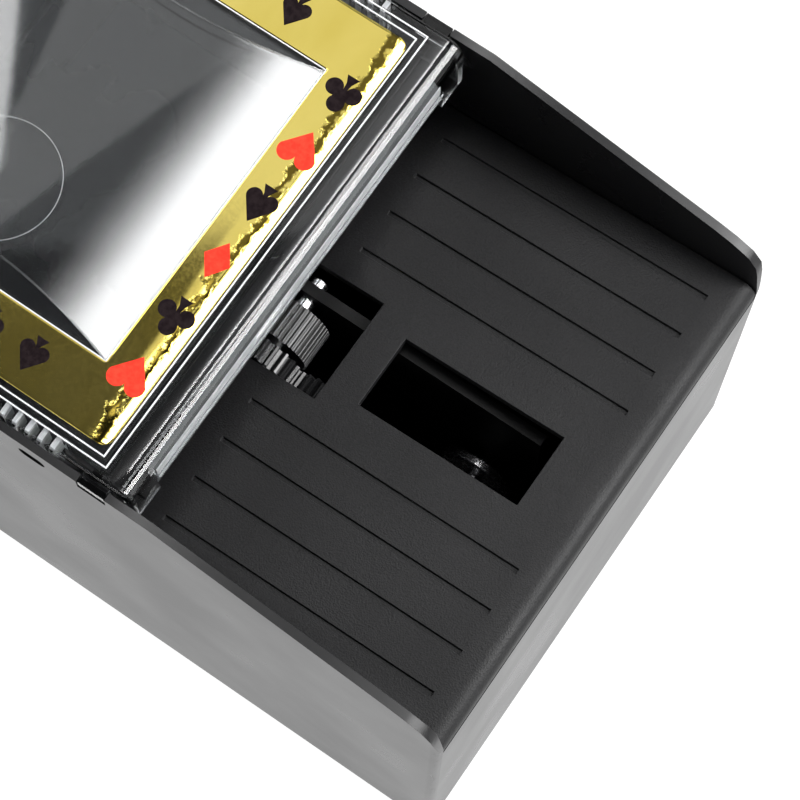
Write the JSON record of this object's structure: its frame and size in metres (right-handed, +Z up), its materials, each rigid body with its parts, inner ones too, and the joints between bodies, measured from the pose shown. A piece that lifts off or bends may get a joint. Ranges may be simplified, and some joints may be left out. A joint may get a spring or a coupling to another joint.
{
  "type": "automatic card shuffler",
  "caption": "Battery-driven tabletop playing-card shuffler: two sloping card trays with feed rollers either side of a lidded chamber, over a pull-out drawer.",
  "frame": {"origin": "bottom centre of the case, on the surface it stands on", "axes": "+X along the length from tray to tray, +Y to the front where the drawer and the start button are, +Z up"},
  "size_m": [0.205, 0.098, 0.098],
  "materials": {
    "housing_plastic": "satin black",
    "tray_plastic": "fine grained",
    "clear_plastic": "clear",
    "gold_foil": "metallised gold",
    "drawer_plastic": "satin black",
    "gear_plastic": "moulded black",
    "frame_plastic": "moulded black",
    "roller_rubber": "ribbed",
    "belt_rubber": "smooth",
    "foot_rubber": "matt",
    "shaft_steel": "ground",
    "motor_steel": "plated",
    "motor_cap_plastic": "moulded white",
    "screw_steel": "black zinc",
    "contact_nickel": "nickel plated",
    "cell_wrap": "printed wrap",
    "button_plastic": "gloss red",
    "wire_pvc": "smooth",
    "switch_plastic": "moulded"
  },
  "bodies": {
    "housing": {"upper_housing": "housing_plastic", "base_plate": "frame_plastic", "switch_bracket": "frame_plastic", "gear_plate_inner_right": "frame_plastic", "gear_plate_inner_left": "frame_plastic", "gear_plate_outer_right": "frame_plastic", "gear_plate_outer_left": "frame_plastic", "card_gate_right": "frame_plastic", "card_gate_left": "frame_plastic", "card_tray_right": "tray_plastic", "card_tray_left": "tray_plastic", "gate_pad_right": "roller_rubber", "gate_pad_left": "roller_rubber", "drive_belt_right": "belt_rubber", "drive_belt_left": "belt_rubber", "rubber_feet": "foot_rubber", "motor_can_right": "motor_steel", "motor_can_left": "motor_steel", "motor_end_cap_right": "motor_cap_plastic", "motor_end_cap_left": "motor_cap_plastic", "housing_screws": "screw_steel", "plate_screws": "screw_steel", "battery_contacts": "contact_nickel", "battery_springs": "contact_nickel", "button_spring": "contact_nickel", "aa_cell_1": "cell_wrap", "aa_cell_2": "cell_wrap", "aa_cell_3": "cell_wrap", "aa_cell_4": "cell_wrap", "push_switch": "switch_plastic", "wiring": "wire_pvc"},
    "cover": {"clear_cover": "clear_plastic", "foil_label": "gold_foil"},
    "drawer": {"card_drawer": "drawer_plastic"},
    "button": {"start_button": "button_plastic"},
    "battery_door": {"battery_door": "frame_plastic"},
    "drive_right": {"drive_gear_right": "gear_plastic", "drive_shaft_right": "shaft_steel", "drive_pulley_right": "gear_plastic", "spacer_disc_right": "shaft_steel"},
    "rotor_right": {"motor_shaft_right": "shaft_steel", "motor_pinion_right": "gear_plastic"},
    "idler_right": {"idler_gear_right": "gear_plastic", "idler_shaft_right": "shaft_steel", "idler_pulley_right": "gear_plastic"},
    "feed_right": {"feed_gear_right": "gear_plastic", "feed_shaft_right": "shaft_steel", "feed_roller_right": "roller_rubber"},
    "drive_left": {"drive_gear_left": "gear_plastic", "drive_shaft_left": "shaft_steel", "drive_pulley_left": "gear_plastic", "spacer_disc_left": "shaft_steel"},
    "rotor_left": {"motor_shaft_left": "shaft_steel", "motor_pinion_left": "gear_plastic"},
    "idler_left": {"idler_gear_left": "gear_plastic", "idler_shaft_left": "shaft_steel", "idler_pulley_left": "gear_plastic"},
    "feed_left": {"feed_gear_left": "gear_plastic", "feed_shaft_left": "shaft_steel", "feed_roller_left": "roller_rubber"}
  },
  "joints": [
    {"name": "cover_lift", "type": "slide", "parent": "housing", "child": "cover", "axis": [0, 0, 1], "range_m": [0, 0.06]},
    {"name": "drawer_slide", "type": "slide", "parent": "housing", "child": "drawer", "axis": [0, 1, 0], "range_m": [0, 0.085]},
    {"name": "button_press", "type": "slide", "parent": "housing", "child": "button", "axis": [0, -1, 0], "range_m": [0, 0.002], "stiffness_N_per_m": 250, "springref_m": -0.002, "deforming": ["button_spring"]},
    {"name": "battery_door_release", "type": "slide", "parent": "housing", "child": "battery_door", "axis": [0, 0, -1], "range_m": [0, 0.03]},
    {"name": "drive_spin_right", "type": "hinge", "parent": "housing", "child": "drive_right", "pos_m": [0.077, 0, 0.035], "axis": [0, 1, 0], "continuous": true},
    {"name": "motor_spin_right", "type": "hinge", "parent": "housing", "child": "rotor_right", "pos_m": [0.06385, 0, 0.02185], "axis": [0, 1, 0], "continuous": true},
    {"name": "idler_spin_right", "type": "hinge", "parent": "housing", "child": "idler_right", "pos_m": [0.05285, 0, 0.05812], "axis": [0, 1, 0], "continuous": true},
    {"name": "feed_spin_right", "type": "hinge", "parent": "housing", "child": "feed_right", "pos_m": [0.0403, 0, 0.0622], "axis": [0, 1, 0], "continuous": true},
    {"name": "drive_spin_left", "type": "hinge", "parent": "housing", "child": "drive_left", "pos_m": [-0.077, 0, 0.035], "axis": [0, -1, 0], "continuous": true},
    {"name": "motor_spin_left", "type": "hinge", "parent": "housing", "child": "rotor_left", "pos_m": [-0.06385, 0, 0.02185], "axis": [0, -1, 0], "continuous": true},
    {"name": "idler_spin_left", "type": "hinge", "parent": "housing", "child": "idler_left", "pos_m": [-0.05285, 0, 0.05812], "axis": [0, -1, 0], "continuous": true},
    {"name": "feed_spin_left", "type": "hinge", "parent": "housing", "child": "feed_left", "pos_m": [-0.0403, 0, 0.0622], "axis": [0, -1, 0], "continuous": true}
  ],
  "couplings": [
    {"joint": "motor_spin_right", "follows": "drive_spin_right", "ratio": -4.1667},
    {"joint": "idler_spin_right", "follows": "drive_spin_right", "ratio": 0.66667},
    {"joint": "feed_spin_right", "follows": "drive_spin_right", "ratio": -0.8},
    {"joint": "motor_spin_left", "follows": "drive_spin_left", "ratio": -4.1667},
    {"joint": "idler_spin_left", "follows": "drive_spin_left", "ratio": 0.66667},
    {"joint": "feed_spin_left", "follows": "drive_spin_left", "ratio": -0.8}
  ]
}
